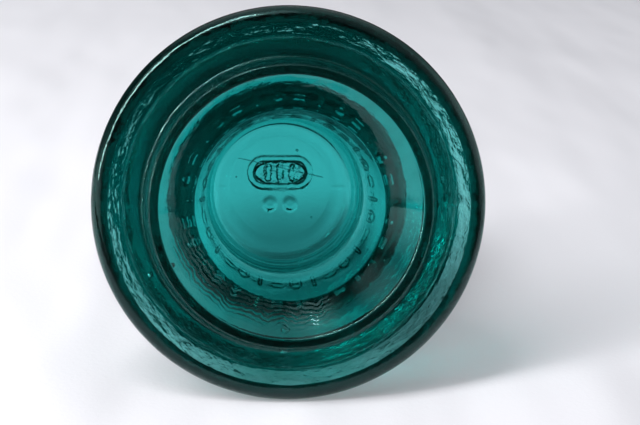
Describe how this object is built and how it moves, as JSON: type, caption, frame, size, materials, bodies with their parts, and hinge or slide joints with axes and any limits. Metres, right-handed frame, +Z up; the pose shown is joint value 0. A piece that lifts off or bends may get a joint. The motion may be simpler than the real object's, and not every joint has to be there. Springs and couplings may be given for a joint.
{
  "type": "pin insulator",
  "caption": "Squat pressed-glass pin insulator with a domed crown, a side wire groove, a flared skirt and an inner petticoat round a smooth pin socket.",
  "frame": {"origin": "on the axis, in the plane of the petticoat's lip, which is the lowest point", "axes": "+Z up the axis to the crown; -Y is the side of the crown that carries the oval figure; +X completes the right-handed frame"},
  "size_m": [0.0825, 0.0824, 0.0696],
  "materials": {
    "glass": "clear blue-green pressed glass, fire-polished"
  },
  "bodies": {
    "root": {"glass_body": "glass"}
  },
  "joints": []
}
